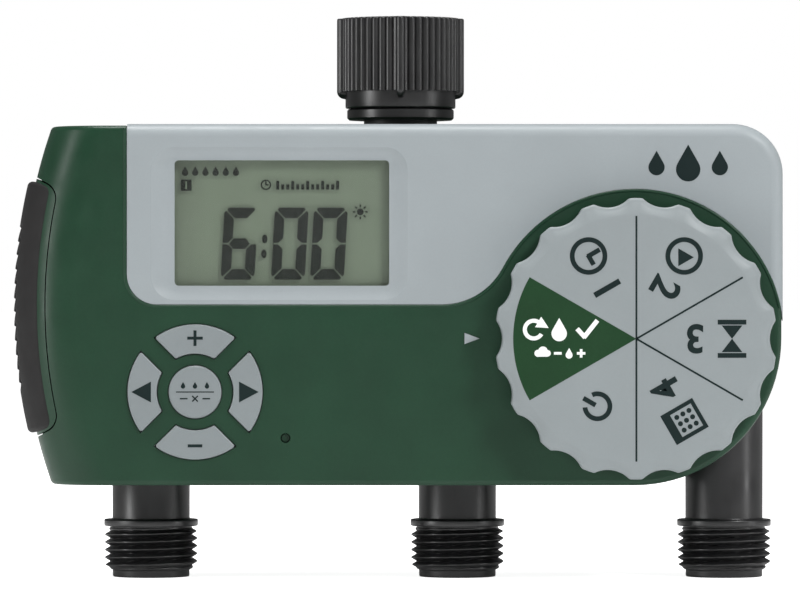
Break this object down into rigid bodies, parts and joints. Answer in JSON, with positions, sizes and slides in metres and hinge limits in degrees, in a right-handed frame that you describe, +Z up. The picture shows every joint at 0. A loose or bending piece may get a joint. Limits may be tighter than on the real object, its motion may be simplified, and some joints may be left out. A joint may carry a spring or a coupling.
{
  "type": "drip irrigation timer",
  "caption": "Tap-mounted drip irrigation timer: case with display, keypad and scalloped selector dial, swivel inlet nut above, threaded hose outlets below, slide-out battery drawer at the left.",
  "frame": {"origin": "on the inlet axis at the open mouth of the swivel nut, where the tap's thread enters", "axes": "+Z up out of the nut, the front with display and dial faces -Y, +X to the right as the front is seen"},
  "size_m": [0.22, 0.078, 0.1617],
  "materials": {
    "green_plastic": "satin moulded, lightly textured",
    "grey_plastic": "satin moulded",
    "button_plastic": "satin moulded",
    "dial_print": "satin, printed",
    "black_plastic": "satin moulded nylon",
    "grip_rubber": "ridged, matte",
    "seal_rubber": "matte",
    "silicone": "matte",
    "clear_lens": "polished",
    "display": "polarised display glass",
    "display_strip": "striped elastomer",
    "board": "solder mask",
    "steel": "zinc plated",
    "nickel": "nickel plated",
    "cell_wrap": "printed sleeve",
    "screen_steel": "woven mesh in a plastic rim",
    "coil_plastic": "moulded coil cover",
    "valve_plastic": "glass-filled nylon"
  },
  "bodies": {
    "case": {"front_housing": "green_plastic", "rear_housing": "green_plastic", "grey_fascia": "grey_plastic", "housing_gasket": "seal_rubber", "case_screws": "steel", "pointer_insert": "grey_plastic", "lcd_lens": "clear_lens", "lcd_module": "display", "lcd_strip": "display_strip", "circuit_board": "board", "board_screws": "steel", "keypad_mat": "silicone", "reset_switch": "coil_plastic", "rotary_switch": "coil_plastic", "switch_board": "board", "battery_bay": "black_plastic", "bay_terminals": "nickel", "inlet_washer": "seal_rubber", "filter_screen": "screen_steel", "stem_ring": "black_plastic", "water_manifold": "valve_plastic", "bonnet_screws": "steel", "outlet_left": "black_plastic", "valve_body_left": "valve_plastic", "diaphragm_left": "seal_rubber", "bonnet_left": "valve_plastic", "solenoid_left": "coil_plastic", "outlet_middle": "black_plastic", "valve_body_middle": "valve_plastic", "diaphragm_middle": "seal_rubber", "bonnet_middle": "valve_plastic", "solenoid_middle": "coil_plastic", "outlet_right": "black_plastic", "valve_body_right": "valve_plastic", "diaphragm_right": "seal_rubber", "bonnet_right": "valve_plastic", "solenoid_right": "coil_plastic"},
    "dial": {"selector_knob": "dial_print", "dial_face": "dial_print", "knob_shaft": "steel", "knob_seal": "seal_rubber"},
    "nut": {"swivel_nut": "black_plastic"},
    "drawer": {"battery_drawer": "green_plastic", "drawer_grip": "grip_rubber", "battery_front": "cell_wrap", "battery_back": "cell_wrap", "drawer_contacts": "nickel"},
    "reset_key": {"reset_plunger": "button_plastic"},
    "key_plus": {"button_plus": "button_plastic"},
    "key_right": {"button_right": "button_plastic"},
    "key_minus": {"button_minus": "button_plastic"},
    "key_left": {"button_left": "button_plastic"},
    "key_centre": {"button_centre": "button_plastic"},
    "valve_left": {"plunger_left": "steel"},
    "valve_middle": {"plunger_middle": "steel"},
    "valve_right": {"plunger_right": "steel"}
  },
  "joints": [
    {"name": "dial_turn", "type": "hinge", "parent": "case", "child": "dial", "pos_m": [0.0666, -0.04, -0.0925], "axis": [0, 1, 0], "continuous": true},
    {"name": "nut_turn", "type": "hinge", "parent": "case", "child": "nut", "pos_m": [0, 0, -0.013], "axis": [0, 0, 1], "continuous": true},
    {"name": "drawer_slide", "type": "slide", "parent": "case", "child": "drawer", "axis": [-1, 0, 0], "range_m": [0, 0.022]},
    {"name": "reset_press", "type": "slide", "parent": "case", "child": "reset_key", "axis": [0, 1, 0], "range_m": [0, 0.0003], "stiffness_N_per_m": 400},
    {"name": "plus_press", "type": "slide", "parent": "case", "child": "key_plus", "axis": [0, 1, 0], "range_m": [0, 0.0008], "stiffness_N_per_m": 400},
    {"name": "right_press", "type": "slide", "parent": "case", "child": "key_right", "axis": [0, 1, 0], "range_m": [0, 0.0008], "stiffness_N_per_m": 400},
    {"name": "minus_press", "type": "slide", "parent": "case", "child": "key_minus", "axis": [0, 1, 0], "range_m": [0, 0.0008], "stiffness_N_per_m": 400},
    {"name": "left_press", "type": "slide", "parent": "case", "child": "key_left", "axis": [0, 1, 0], "range_m": [0, 0.0008], "stiffness_N_per_m": 400},
    {"name": "centre_press", "type": "slide", "parent": "case", "child": "key_centre", "axis": [0, 1, 0], "range_m": [0, 0.0008], "stiffness_N_per_m": 400},
    {"name": "valve_left_open", "type": "slide", "parent": "case", "child": "valve_left", "axis": [0, 1, 0], "range_m": [0, 0.0015], "stiffness_N_per_m": 300},
    {"name": "valve_middle_open", "type": "slide", "parent": "case", "child": "valve_middle", "axis": [0, 1, 0], "range_m": [0, 0.0015], "stiffness_N_per_m": 300},
    {"name": "valve_right_open", "type": "slide", "parent": "case", "child": "valve_right", "axis": [0, 1, 0], "range_m": [0, 0.0015], "stiffness_N_per_m": 300}
  ]
}
